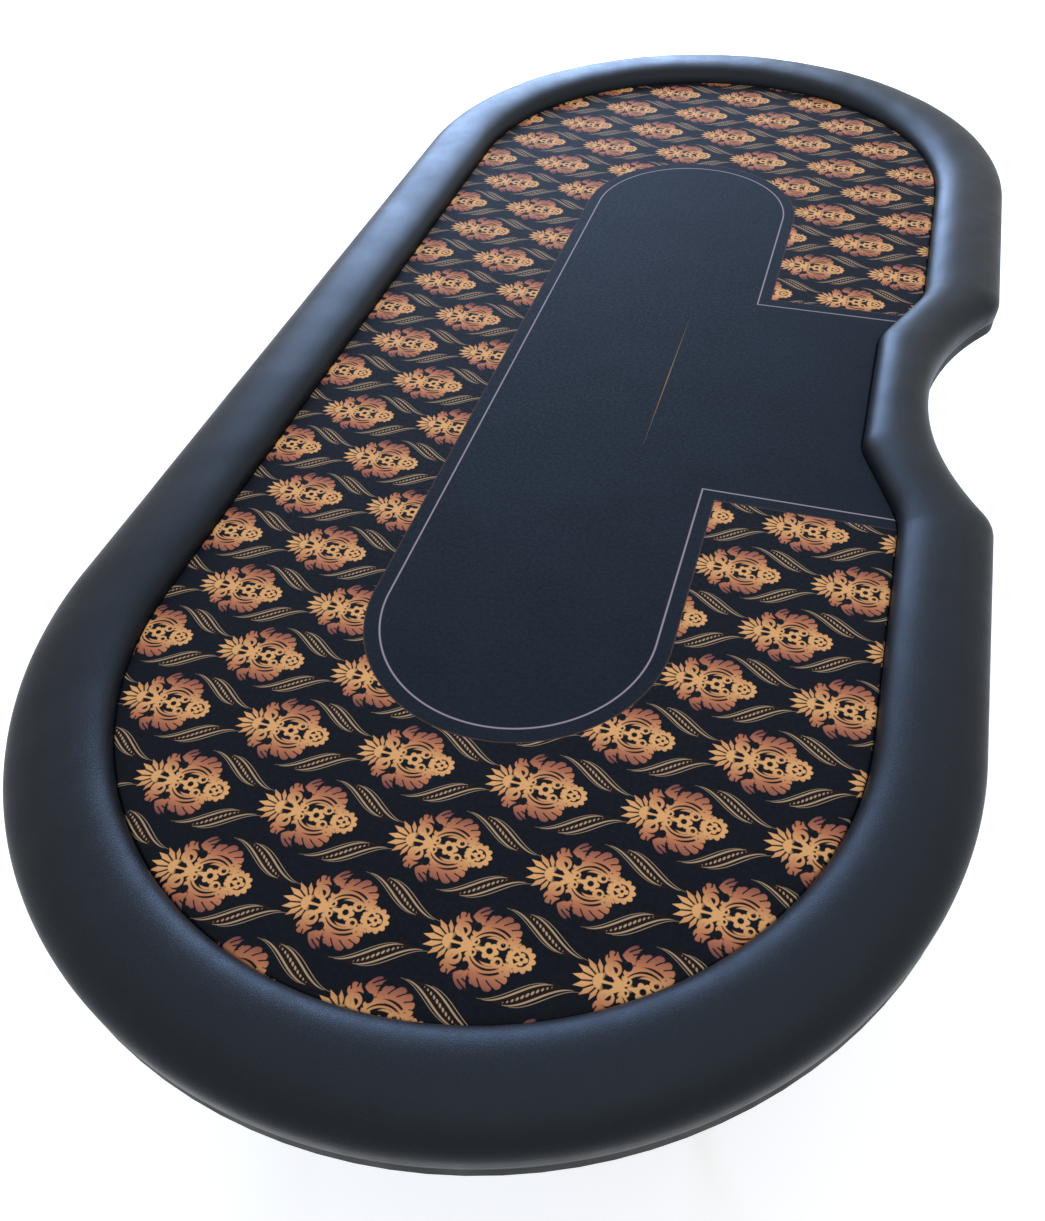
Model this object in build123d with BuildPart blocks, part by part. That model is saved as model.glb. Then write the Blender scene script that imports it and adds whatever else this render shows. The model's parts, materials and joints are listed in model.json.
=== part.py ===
from build123d import *
from math import cos, hypot, radians, sin
import os

# Oval gaming table: a padded rail round a cloth-covered playing field, with a bay for the dealer,
# on two folding steel leg frames. X runs across the table with the dealer's side at +X, Y runs
# along it and Z is up. The origin is on the floor under the middle. All sizes are millimetres.

# ---- Overall sizes ----
table_length = 2440.0
table_width = 1120.0
playing_height = 760.0  # floor to the top of the cloth

# ---- Layers of the playing field and the deck ----
cloth_thickness = 1.0
cloth_turn_under = 30.0  # cloth folded under the playing board
pad_thickness = 4.0
playing_board_thickness = 12.0
playing_board_gap = 0.8  # between the wrapped playing field and the rail
deck_thickness = 18.0
deck_inset = 2.0  # deck edge behind the outside of the rail

# ---- Rail ----
rail_width = 118.0
rail_rise = 31.0  # top of the rail above the cloth
rail_board_thickness = 18.0
rail_side_padding = 14.0  # foam beside the rail board
cover_thickness = 1.2
cover_turn_under = 24.0  # cover folded under the rail board
soft_gap = 0.3  # clearance round foam

# ---- Dealer's bay ----
bay_depth = 96.0
bay_radius = 430.0
bay_shoulder_radius = 60.0
bay_rail_width = 83.0  # the rail is narrower along the bay
bay_flat_length = 285.0  # straight stretch of the rail's inside edge
bay_mouth_length = 570.0  # where that edge leaves the straight side
bay_knee_radius = 70.0
bay_mouth_radius = 140.0

# ---- Fasteners ----
bolt_radius = 4.0
bolt_hole_radius = 4.5
bolt_head_across_flats = 13.0
bolt_head_height = 5.3
bolt_end_gap = 1.2  # bolt tip below the top of its nut
washer_radius = 12.0
washer_thickness = 2.0
nut_flange_radius = 10.0
nut_flange_thickness = 1.5
nut_barrel_radius = 5.2
nut_barrel_length = 9.0
thread_clearance = 0.05
screw_radius = 2.0
screw_head_radius = 4.2
screw_head_height = 2.4
plate_screw_length = 16.0
playing_screw_length = 29.0
playing_screw_side_margin = 191.2  # from the long sides of the well
playing_screw_end_margin = 178.0  # from the ends of the well
playing_screw_middle_y = 297.0

# ---- Leg frames ----
leg_spread = 660.0  # between the two legs of a frame
leg_pivot_y = 765.0
leg_pivot_drop = 28.0  # pivot below the deck
leg_splay = 4.0  # degrees that a standing leg leans outwards
leg_radius = 14.0
tube_wall = 1.5
leg_top_reach = 14.0  # tube above its pivot
crossbar_radius = 11.0
upper_crossbar_reach = 300.0  # along the leg from its pivot
lower_crossbar_reach = 560.0
foot_wall = 4.0
foot_sole = 10.0
foot_sleeve = 34.0
plug_flange = 1.5
plug_depth = 12.0
pin_radius = 4.0
pin_head_radius = 7.0
pin_head_height = 2.5
pin_clearance = 0.05
side_clearance = 0.5  # between a leg and the ears of its bracket
plate_thickness = 2.5
ear_radius = 12.0
ear_root_length = 48.0
bracket_flange = 20.0
bracket_length = 60.0

# ---- Folding stays ----
stay_leg_reach = 210.0  # leg pivot to the stay's pin on the leg
stay_deck_reach = 250.0  # leg pivot to the stay's pin under the deck
stay_width = 20.0
stay_thickness = 4.0
stay_leg_gap = 0.8  # stay to leg tube
stay_head_height = 2.2
stay_head_gap = 0.2
stay_link_gap = 3.0  # between the planes of the two links
stay_pin_radius = 3.0
stay_collar_gap = 0.5
stay_lug_start = 12.0  # past the joint
stay_lug_length = 12.0
stay_lug_thickness = 3.0
stay_lug_gap = 0.3
stay_bracket_width = 33.0
stay_bracket_length = 44.0
release_bar_radius = 5.0

# ---- Heights ----
deck_top = playing_height - 2 * cloth_thickness - pad_thickness - playing_board_thickness
deck_bottom = deck_top - deck_thickness
rail_top = playing_height + rail_rise
rail_board_bottom = deck_top + cover_thickness
rail_board_top = rail_board_bottom + rail_board_thickness
playing_board_bottom = deck_top + cloth_thickness
playing_board_top = playing_board_bottom + playing_board_thickness
pad_top = playing_board_top + pad_thickness
plate_bottom = deck_bottom - plate_thickness

# ---- Plan sizes ----
well_length = table_length - 2 * rail_width
well_width = table_width - 2 * rail_width
bay_outer_x = table_width / 2 - bay_depth
bay_inner_x = bay_outer_x - bay_rail_width
straight_half = (table_length - table_width) / 2
rail_inset = rail_width / 2  # middle of the rail


def keep(piece, name):
    """Labels a finished piece and writes its file."""
    piece.label = name
    export_step(piece, f"parts/{name}.step")


def keep_pair(piece, name):
    """Writes a leg frame's piece for the right end, and its mirror image for the left end."""
    keep(piece, f"right_{name}")
    keep(mirror(piece, about=Plane.XZ), f"left_{name}")


# ---------------------------------------------------------------- table top


def outer_outline(inset):
    """The table's outline from above, with the dealer's bay, drawn in by inset."""
    with BuildSketch() as outline:
        SlotOverall(table_length, table_width, rotation=90)
        with Locations((bay_outer_x + bay_radius, 0)):
            Circle(bay_radius, mode=Mode.SUBTRACT)
        shoulders = outline.vertices().filter_by(
            lambda v: v.X > table_width / 2 - 1 and abs(v.Y) < straight_half - 1
        )
        fillet(shoulders, bay_shoulder_radius)
        offset(amount=-inset)
    return outline.sketch


def well_outline(growth):
    """The rail's inside edge at the cloth, drawn out by growth, or in where that is negative."""
    side = well_width / 2
    with BuildSketch() as outline:
        SlotOverall(well_length, well_width, rotation=90)
        with BuildLine():
            Polyline(
                (side, bay_mouth_length / 2),
                (bay_inner_x, bay_flat_length / 2),
                (bay_inner_x, -bay_flat_length / 2),
                (side, -bay_mouth_length / 2),
                close=True,
            )
        make_face(mode=Mode.SUBTRACT)
        knees = outline.vertices().filter_by(lambda v: abs(v.X - bay_inner_x) < 0.1)
        fillet(knees, bay_knee_radius)
        mouths = outline.vertices().filter_by(
            lambda v: abs(v.X - side) < 0.1 and abs(abs(v.Y) - bay_mouth_length / 2) < 0.1
        )
        fillet(mouths, bay_mouth_radius)
        offset(amount=growth)
    return outline.sketch


def rail_ring(inset, bottom, top, crown=0.0):
    """A solid ring in the rail's plan shape, set in by inset on both sides, its top edges rounded."""
    outside = outer_outline(inset)
    inside = well_outline(inset)
    with BuildPart() as ring:
        with BuildSketch(Plane.XY.offset(bottom)):
            add(outside)
            add(inside, mode=Mode.SUBTRACT)
        extrude(amount=top - bottom)
        if crown > 0:
            fillet(ring.faces().sort_by(Axis.Z)[-1].edges(), crown)
    return ring.part


def field_slab(shrink, bottom, top):
    """A flat slab that fills the well inside the rail, drawn in by shrink."""
    plan = well_outline(-shrink)
    with BuildPart() as slab:
        with BuildSketch(Plane.XY.offset(bottom)):
            add(plan)
        extrude(amount=top - bottom)
    return slab.part


def bolt_places():
    """Where the bolts hold the rail down: along its middle, round both ends and beside the bay."""
    middle = table_width / 2 - rail_inset
    places = [(-middle, y * straight_half) for y in (-0.9, -0.3, 0.3, 0.9)]
    places += [(middle, y * straight_half) for y in (-0.75, 0.75)]
    places.append(((bay_outer_x + bay_inner_x) / 2, 0))
    for end in (-1, 1):
        for angle in (30, 90, 150):
            x = middle * cos(radians(angle))
            y = end * (straight_half + middle * sin(radians(angle)))
            places.append((x, y))
    return places


def on_spots(spots, height):
    return [(x, y, height) for x, y in spots]


def screws_up(spots, head_bottom, length):
    """Countersunk screws driven upwards, their heads flush with head_bottom."""
    with BuildPart() as screws:
        with Locations(*on_spots(spots, head_bottom)):
            Cylinder(screw_radius, length, align=(Align.CENTER, Align.CENTER, Align.MIN))
            Cone(
                screw_head_radius,
                screw_radius,
                screw_head_height,
                align=(Align.CENTER, Align.CENTER, Align.MIN),
            )
    return screws.part


rail_spots = bolt_places()
playing_screw_x = well_width / 2 - playing_screw_side_margin
playing_screw_end_y = well_length / 2 - playing_screw_end_margin
playing_screw_spots = [
    (x * playing_screw_x, y)
    for x in (-1, 1)
    for y in (
        -playing_screw_end_y,
        -playing_screw_middle_y,
        playing_screw_middle_y,
        playing_screw_end_y,
    )
]
upwards = (Align.CENTER, Align.CENTER, Align.MIN)
downwards = (Align.CENTER, Align.CENTER, Align.MAX)

with BuildPart() as rail_bolts:
    with BuildSketch(Plane.XY.offset(deck_bottom - washer_thickness - bolt_head_height)):
        with Locations(*rail_spots):
            RegularPolygon(bolt_head_across_flats / 2, 6, major_radius=False)
    extrude(amount=bolt_head_height)
    with Locations(*on_spots(rail_spots, deck_bottom - washer_thickness)):
        Cylinder(
            bolt_radius,
            rail_board_top - bolt_end_gap - deck_bottom + washer_thickness,
            align=upwards,
        )

with BuildPart() as rail_washers:
    with Locations(*on_spots(rail_spots, deck_bottom)):
        Cylinder(washer_radius, washer_thickness, align=downwards)
        Cylinder(bolt_hole_radius, washer_thickness, align=downwards, mode=Mode.SUBTRACT)

with BuildPart() as nut_bodies:
    with Locations(*on_spots(rail_spots, rail_board_top)):
        Cylinder(nut_flange_radius, nut_flange_thickness, align=downwards)
        Cylinder(nut_barrel_radius, nut_flange_thickness + nut_barrel_length, align=downwards)

with BuildPart() as rail_tee_nuts:
    add(nut_bodies.part)
    with Locations(*on_spots(rail_spots, rail_board_top)):
        Cylinder(
            bolt_radius + thread_clearance,
            nut_flange_thickness + nut_barrel_length,
            align=downwards,
            mode=Mode.SUBTRACT,
        )

with BuildPart() as bolt_holes:
    with Locations(*on_spots(rail_spots, deck_bottom)):
        Cylinder(bolt_hole_radius, rail_board_top - deck_bottom, align=upwards)

playing_screws = screws_up(playing_screw_spots, deck_bottom, playing_screw_length)

cover_outside = rail_ring(0, deck_top, rail_top, rail_rise)
cover_inside = rail_ring(
    cover_thickness, rail_board_bottom, rail_top - cover_thickness, rail_rise - cover_thickness
)
cover_opening = rail_ring(cover_thickness + cover_turn_under, deck_top, rail_board_bottom)
foam_inset = cover_thickness + soft_gap
foam_outside = rail_ring(
    foam_inset, rail_board_bottom + soft_gap, rail_top - foam_inset, rail_rise - foam_inset
)
board_inset = cover_thickness + rail_side_padding
board_ring = rail_ring(board_inset, rail_board_bottom, rail_board_top)

with BuildPart() as rail_cover:
    add(cover_outside)
    add(cover_inside, mode=Mode.SUBTRACT)
    add(cover_opening, mode=Mode.SUBTRACT)

with BuildPart() as rail_board:
    add(board_ring)
    add(bolt_holes.part, mode=Mode.SUBTRACT)
    add(nut_bodies.part, mode=Mode.SUBTRACT)

with BuildPart() as rail_foam:
    add(foam_outside)
    add(board_ring, mode=Mode.SUBTRACT)

cloth_outside = field_slab(playing_board_gap, deck_top, playing_height)
cloth_inside = field_slab(playing_board_gap + cloth_thickness, playing_board_bottom, pad_top)
cloth_opening = field_slab(
    playing_board_gap + cloth_thickness + cloth_turn_under, deck_top, playing_board_bottom
)
board_shrink = playing_board_gap + cloth_thickness
board_slab = field_slab(board_shrink, playing_board_bottom, playing_board_top)
pad_slab = field_slab(board_shrink + soft_gap, playing_board_top, pad_top)

with BuildPart() as playing_cloth:
    add(cloth_outside)
    add(cloth_inside, mode=Mode.SUBTRACT)
    add(cloth_opening, mode=Mode.SUBTRACT)

with BuildPart() as playing_board:
    add(board_slab)
    add(playing_screws, mode=Mode.SUBTRACT)

with BuildPart() as playing_pad:
    add(pad_slab)

# ---------------------------------------------------------------- leg frame geometry
# Everything below is drawn for the right end of the table (+Y) and mirrored for the left end.

leg_x = leg_spread / 2
pivot_z = deck_bottom - leg_pivot_drop
splay_sine, splay_cosine = sin(radians(leg_splay)), cos(radians(leg_splay))
leg_direction = (0, splay_sine, -splay_cosine)
floor_reach = pivot_z / splay_cosine  # along the leg from its pivot to the floor
tube_end = floor_reach - foot_sole


def along_leg(x, reach):
    """The point on a leg's axis that is reach below its pivot."""
    return (x, leg_pivot_y + reach * splay_sine, pivot_z - reach * splay_cosine)


def leg_plane(x, reach):
    """A plane across a leg that faces its foot."""
    return Plane(origin=along_leg(x, reach), x_dir=(1, 0, 0), z_dir=leg_direction)


def side_plane(x, y, z):
    """A plane that faces +X, with its own X along Y."""
    return Plane(origin=(x, y, z), x_dir=(0, 1, 0), z_dir=(1, 0, 0))


def rod(x_start, x_end, y, z, radius):
    """A round bar along X."""
    with BuildPart() as bar:
        with BuildSketch(side_plane(x_start, y, z)):
            Circle(radius)
        extrude(amount=x_end - x_start)
    return bar.part


def both_legs(piece):
    """A piece beside the dealer's leg, with its mirror image beside the players' leg."""
    with BuildPart() as pair:
        add(piece)
        mirror(about=Plane.YZ)
    return pair.part


# Stay: its deck pin, its leg pin and the joint between its links, when the table stands.
deck_pin = (leg_pivot_y - stay_deck_reach, pivot_z)
leg_pin = along_leg(0, stay_leg_reach)[1:]
stay_span = hypot(leg_pin[0] - deck_pin[0], leg_pin[1] - deck_pin[1])
stay_along = ((leg_pin[0] - deck_pin[0]) / stay_span, (leg_pin[1] - deck_pin[1]) / stay_span)
# Folded, the links lie on each other, so they differ by as much as the two reaches do.
upper_link_length = (stay_span + stay_deck_reach - stay_leg_reach) / 2
joint_pin = (
    deck_pin[0] + upper_link_length * stay_along[0],
    deck_pin[1] + upper_link_length * stay_along[1],
)

# The stay's layers along X, from the leg tube inwards.
lower_link_out = leg_x - leg_radius - stay_leg_gap
lower_link_in = lower_link_out - stay_thickness
upper_link_out = lower_link_in - stay_link_gap
upper_link_in = upper_link_out - stay_thickness
stay_ear_out = upper_link_in - stay_head_gap
stay_ear_in = stay_ear_out - plate_thickness


def stay_plane(x):
    """A plane that faces +X, with its origin at the deck pin and its own X along the stay."""
    return Plane(
        origin=(x, deck_pin[0], deck_pin[1]),
        x_dir=(0, stay_along[0], stay_along[1]),
        z_dir=(1, 0, 0),
    )


# ---------------------------------------------------------------- leg frame pieces


def bracket(x_inner, x_outer, flange_in, flange_out, y, length, pin, pin_z):
    """A plate under the deck with an ear at each x given, and a pin hole through the ears."""
    ears = [x_inner] if x_outer is None else [x_inner, x_outer - plate_thickness]
    with BuildPart() as plate:
        with Locations(((flange_in + flange_out) / 2, y, deck_bottom)):
            Box(flange_out - flange_in, length, plate_thickness, align=downwards)
        for x in ears:
            with BuildSketch(side_plane(x, y, pin_z)):
                Circle(ear_radius)
                with Locations((0, plate_bottom - pin_z)):
                    Rectangle(ear_root_length * length / bracket_length, plate_thickness)
                make_hull()
            extrude(amount=plate_thickness)
        add(rod(flange_in, flange_out, y, pin_z, pin), mode=Mode.SUBTRACT)
    return plate.part


ear_gap = leg_radius + side_clearance
ear_outside = ear_gap + plate_thickness
flange_half = ear_outside + bracket_flange
bracket_spots = [
    (leg_x + x * (ear_outside + bracket_flange / 2), leg_pivot_y + y * bracket_length * 0.32)
    for x in (-1, 1)
    for y in (-1, 1)
]
stay_screw_x = stay_ear_in - stay_bracket_width / 2
stay_screw_spots = [
    (stay_screw_x, deck_pin[0] + y * stay_bracket_length * 0.3) for y in (-1, 1)
]

bracket_screws = both_legs(screws_up(bracket_spots, plate_bottom, plate_screw_length))
stay_bracket_screws = both_legs(screws_up(stay_screw_spots, plate_bottom, plate_screw_length))

leg_bracket = bracket(
    leg_x - ear_outside,
    leg_x + ear_outside,
    leg_x - flange_half,
    leg_x + flange_half,
    leg_pivot_y,
    bracket_length,
    pin_radius,
    pivot_z,
)
stay_bracket = bracket(
    stay_ear_in,
    None,
    stay_ear_out - stay_bracket_width,
    stay_ear_out,
    deck_pin[0],
    stay_bracket_length,
    stay_pin_radius,
    pivot_z,
)

with BuildPart() as leg_brackets:
    add(both_legs(leg_bracket))
    add(bracket_screws, mode=Mode.SUBTRACT)

with BuildPart() as stay_brackets:
    add(both_legs(stay_bracket))
    add(stay_bracket_screws, mode=Mode.SUBTRACT)

with BuildPart() as pivot_pin:
    add(rod(leg_x - ear_outside, leg_x + ear_outside, leg_pivot_y, pivot_z, pin_radius))
    for x, height in (
        (leg_x - ear_outside - pin_head_height, pin_head_height),
        (leg_x + ear_outside, pin_head_height),
    ):
        add(rod(x, x + height, leg_pivot_y, pivot_z, pin_head_radius))

pivot_pins = both_legs(pivot_pin.part)

leg_pin_hole = pin_radius + pin_clearance

with BuildPart() as dealer_side_leg:
    with BuildSketch(leg_plane(leg_x, -leg_top_reach)):
        Circle(leg_radius)
        Circle(leg_radius - tube_wall, mode=Mode.SUBTRACT)
    extrude(amount=tube_end + leg_top_reach)
    add(rod(0, leg_spread, leg_pivot_y, pivot_z, leg_pin_hole), mode=Mode.SUBTRACT)
    add(rod(0, leg_spread, *leg_pin, pin_radius), mode=Mode.SUBTRACT)

with BuildPart() as player_side_leg:
    add(mirror(dealer_side_leg.part, about=Plane.YZ))


def crossbar(reach):
    """A tube between the legs of a frame, its ends shaped to sit on them."""
    with BuildPart() as bar:
        with BuildSketch(side_plane(-leg_x, *along_leg(0, reach)[1:])):
            Circle(crossbar_radius)
            Circle(crossbar_radius - tube_wall, mode=Mode.SUBTRACT)
        extrude(amount=leg_spread)
        for x in (-leg_x, leg_x):
            with BuildSketch(leg_plane(x, reach - 2 * leg_radius)):
                Circle(leg_radius)
            extrude(amount=4 * leg_radius, mode=Mode.SUBTRACT)
    return bar.part


with BuildPart() as foot_cap:
    with BuildSketch(leg_plane(leg_x, tube_end - foot_sleeve)):
        Circle(leg_radius + foot_wall)
    extrude(amount=foot_sleeve + 2 * foot_sole)
    with BuildSketch(leg_plane(leg_x, tube_end - foot_sleeve)):
        Circle(leg_radius)
    extrude(amount=foot_sleeve, mode=Mode.SUBTRACT)
    split(bisect_by=Plane.XY, keep=Keep.TOP)

with BuildPart() as leg_plug:
    with BuildSketch(leg_plane(leg_x, -leg_top_reach - plug_flange)):
        Circle(leg_radius)
    extrude(amount=plug_flange)
    with BuildSketch(leg_plane(leg_x, -leg_top_reach)):
        Circle(leg_radius - tube_wall)
    extrude(amount=plug_depth)
    add(rod(0, leg_spread, leg_pivot_y, pivot_z, leg_pin_hole), mode=Mode.SUBTRACT)

stay_leg_head_in = lower_link_in - stay_head_gap

with BuildPart() as stay_leg_pin:
    add(rod(stay_leg_head_in, leg_x + leg_radius, *leg_pin, pin_radius))
    add(rod(stay_leg_head_in - stay_head_height, stay_leg_head_in, *leg_pin, pin_head_radius))
    outer_face = leg_x + leg_radius
    add(rod(outer_face, outer_face + pin_head_height, *leg_pin, pin_head_radius))

with BuildPart() as stay_deck_pin:
    add(rod(stay_ear_in, upper_link_out + stay_head_gap, *deck_pin, stay_pin_radius))
    add(rod(stay_ear_in - stay_head_height, stay_ear_in, *deck_pin, pin_head_radius))
    outer_face = upper_link_out + stay_head_gap
    add(rod(outer_face, outer_face + stay_head_height, *deck_pin, pin_head_radius))

with BuildPart() as lower_link:
    with BuildSketch(stay_plane(lower_link_in)):
        with Locations((upper_link_length, 0), (stay_span, 0)):
            Circle(stay_width / 2)
        with Locations(((upper_link_length + stay_span) / 2, 0)):
            Rectangle(stay_span - upper_link_length, stay_width)
        with Locations((stay_span, 0)):
            Circle(leg_pin_hole, mode=Mode.SUBTRACT)
        with Locations((upper_link_length, 0)):
            Circle(pin_radius, mode=Mode.SUBTRACT)
    extrude(amount=stay_thickness)

# The joint between the links is left open: its rivet stays with the lower link and stops short
# of the upper one.
with BuildPart() as stay_joint_rivet:
    add(rod(lower_link_in, lower_link_out, *joint_pin, pin_radius))
    add(rod(upper_link_out + stay_collar_gap, lower_link_in, *joint_pin, pin_head_radius))

lug_middle = upper_link_length + stay_lug_start + stay_lug_length / 2
lug_bottom = stay_width / 2 + stay_lug_gap
upper_link_end = lug_middle + stay_lug_length / 2

with BuildPart() as upper_link:
    with BuildSketch(stay_plane(upper_link_in)):
        Circle(stay_width / 2)
        with Locations((upper_link_end / 2, 0)):
            Rectangle(upper_link_end, stay_width)
        with Locations((lug_middle, (lug_bottom + stay_lug_thickness) / 2)):
            Rectangle(stay_lug_length, lug_bottom + stay_lug_thickness)
        Circle(stay_pin_radius + pin_clearance, mode=Mode.SUBTRACT)
    extrude(amount=stay_thickness)
    # The lug bends over the lower link and stops the stay just where it is straight.
    with BuildSketch(stay_plane(upper_link_in)):
        with Locations((lug_middle, lug_bottom + stay_lug_thickness / 2)):
            Rectangle(stay_lug_length, stay_lug_thickness)
    extrude(amount=lower_link_out - upper_link_in)

release_bar = rod(-upper_link_in, upper_link_in, *joint_pin, release_bar_radius)

with BuildPart() as deck_board:
    deck_plan = outer_outline(deck_inset)
    with BuildSketch(Plane.XY.offset(deck_bottom)):
        add(deck_plan)
    extrude(amount=deck_thickness)
    for cutter in (bolt_holes.part, playing_screws, bracket_screws, stay_bracket_screws):
        add(cutter, mode=Mode.SUBTRACT)
    for cutter in (bracket_screws, stay_bracket_screws):
        add(mirror(cutter, about=Plane.XZ, mode=Mode.PRIVATE), mode=Mode.SUBTRACT)

# ---------------------------------------------------------------- files

os.makedirs("parts", exist_ok=True)

keep(deck_board.part, "deck_board")
keep(rail_board.part, "rail_board")
keep(rail_foam.part, "rail_foam")
keep(rail_cover.part, "rail_cover")
keep(rail_bolts.part, "rail_bolts")
keep(rail_washers.part, "rail_washers")
keep(rail_tee_nuts.part, "rail_tee_nuts")
keep(playing_board.part, "playing_board")
keep(playing_pad.part, "playing_pad")
keep(playing_cloth.part, "playing_cloth")
keep(playing_screws, "playing_board_screws")

keep_pair(leg_brackets.part, "leg_brackets")
keep_pair(bracket_screws, "bracket_screws")
keep_pair(pivot_pins, "pivot_pins")
keep_pair(dealer_side_leg.part, "dealer_side_leg")
keep_pair(player_side_leg.part, "player_side_leg")
keep_pair(both_legs(leg_plug.part), "leg_plugs")
keep_pair(both_legs(foot_cap.part), "foot_caps")
keep_pair(crossbar(upper_crossbar_reach), "upper_crossbar")
keep_pair(crossbar(lower_crossbar_reach), "lower_crossbar")
keep_pair(stay_brackets.part, "stay_brackets")
keep_pair(stay_bracket_screws, "stay_bracket_screws")
keep_pair(both_legs(stay_deck_pin.part), "stay_deck_pins")
keep_pair(both_legs(stay_leg_pin.part), "stay_leg_pins")
keep_pair(both_legs(upper_link.part), "upper_stay_links")
keep_pair(both_legs(lower_link.part), "lower_stay_links")
keep_pair(both_legs(stay_joint_rivet.part), "stay_joint_rivets")
keep_pair(release_bar, "release_bar")
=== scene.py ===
"""A folding card table: padded rail, printed cloth, boards and folding steel leg frames.

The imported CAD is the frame. The soft pieces are modelled here over their CAD solids, and every
hard piece gets the finish of what it is made of.
"""

import json
import math

import bpy
import numpy as np
from bpy.props import FloatProperty, FloatVectorProperty, PointerProperty
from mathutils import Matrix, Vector
from mathutils.kdtree import KDTree

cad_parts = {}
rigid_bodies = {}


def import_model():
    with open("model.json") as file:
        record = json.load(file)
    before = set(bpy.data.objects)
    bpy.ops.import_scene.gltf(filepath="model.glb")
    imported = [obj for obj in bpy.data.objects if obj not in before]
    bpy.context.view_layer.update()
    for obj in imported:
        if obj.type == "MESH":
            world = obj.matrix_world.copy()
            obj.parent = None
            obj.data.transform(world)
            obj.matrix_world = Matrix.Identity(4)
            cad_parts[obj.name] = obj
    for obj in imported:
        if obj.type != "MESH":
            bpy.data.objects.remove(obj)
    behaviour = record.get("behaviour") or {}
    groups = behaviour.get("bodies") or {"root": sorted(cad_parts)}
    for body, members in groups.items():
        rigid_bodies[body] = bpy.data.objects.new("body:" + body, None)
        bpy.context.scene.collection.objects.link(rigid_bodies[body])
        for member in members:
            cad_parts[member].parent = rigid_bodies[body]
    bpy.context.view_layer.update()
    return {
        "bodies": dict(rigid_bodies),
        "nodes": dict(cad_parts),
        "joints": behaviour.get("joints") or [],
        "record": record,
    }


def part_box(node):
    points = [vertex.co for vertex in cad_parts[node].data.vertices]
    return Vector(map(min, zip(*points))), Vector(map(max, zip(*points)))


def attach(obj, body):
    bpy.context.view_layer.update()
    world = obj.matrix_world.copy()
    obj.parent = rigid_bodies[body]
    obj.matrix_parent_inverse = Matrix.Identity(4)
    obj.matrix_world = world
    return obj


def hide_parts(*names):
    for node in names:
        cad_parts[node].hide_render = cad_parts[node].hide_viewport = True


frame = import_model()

bl_info = {
    "name": "Folding card table",
    "version": (1, 0, 0),
    "blender": (4, 5, 0),
    "location": "View3D > Sidebar > Card table",
    "description": "Covers, prints and finishes a folding card table around its packed CAD",
    "category": "Object",
}

MM = 0.001
NODES = frame["nodes"]
TOP = "table_top"
SIDES = ("left", "right")
RAIL_LOW, RAIL_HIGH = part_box("rail_cover")
CLOTH_LOW, CLOTH_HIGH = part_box("playing_cloth")
RAIL_BOARD_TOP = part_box("rail_board")[1].z
STATIONS = 840  # steps round the rail and round the cloth
FINE_STEPS = 3600  # steps along the outlines that the rail's sections are measured between
EDGE_BAND = 0.012  # strip of the cloth and the pad between the rounded edge and the flat top
PRINT_START = (24.25, -913.1)  # middle of one motif, in millimetres
MIDDLE = (8.3, -38.7)  # middle of the plain panel, in millimetres
PLY = 1.4  # thickness of one ply of the boards, in millimetres
THREAD = 1.2  # spacing at which the cloth's threads are drawn, in millimetres
COLOURS = {"data_type": "RGBA"}  # makes a Mix node mix colours
CAMERA_PLACE = (0.3242, -1.4776, 1.7631)
CAMERA_TURN = (43.792, 2.081, 16.951)  # in degrees


def linear(hex_colour):
    """An sRGB hex colour as the three linear numbers that Blender works in."""
    channels = [int(hex_colour[i : i + 2], 16) / 255 for i in (1, 3, 5)]
    return tuple(c / 12.92 if c <= 0.04045 else ((c + 0.055) / 1.055) ** 2.4 for c in channels)


def length_property(name, description, default):
    return FloatProperty(name=name, description=description, default=default, min=0, unit="LENGTH")


def colour_property(name, description, hex_colour):
    return FloatVectorProperty(
        name=name, description=description, default=linear(hex_colour), min=0, max=1,
        subtype="COLOR",
    )


# ---------------------------------------------------------------- sizes and colours to change


class RailSettings(bpy.types.PropertyGroup):
    bay_depth: length_property("Bay depth", "How far the dealer's bay cuts in", 0.096)
    bay_radius: length_property("Bay radius", "Radius of the dealer's bay outside", 0.430)
    shoulder_radius: length_property("Shoulder radius", "Rounding beside the bay", 0.060)
    bay_rail_width: length_property("Rail width at the bay", "Rail width along the bay", 0.083)
    bay_flat: length_property("Bay flat length", "Straight stretch inside the bay", 0.285)
    bay_mouth: length_property("Bay mouth length", "Where the inside edge leaves the side", 0.570)
    knee_radius: length_property("Knee radius", "Rounding inside the bay", 0.070)
    mouth_radius: length_property("Mouth radius", "Rounding at the bay's mouth", 0.140)
    dome: FloatProperty(
        name="Dome fullness", description="2 is an ellipse; more is a fuller, flatter dome",
        default=2.34, min=1.5, max=4,
    )
    widest: length_property("Widest below cloth", "Where the padding is widest", 0.002)
    cover_thickness: length_property("Cover thickness", "Thickness of the faux leather", 0.0012)
    turn_under: length_property("Turn-under", "Cover folded under the rail board", 0.024)
    side_padding: length_property("Side padding", "Foam beside the rail board", 0.014)
    softness: length_property("Softness", "How far the hand-stretched cover wanders", 0.0007)
    colour: colour_property("Faux leather", "Colour of the rail's faux leather", "#15181D")


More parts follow.
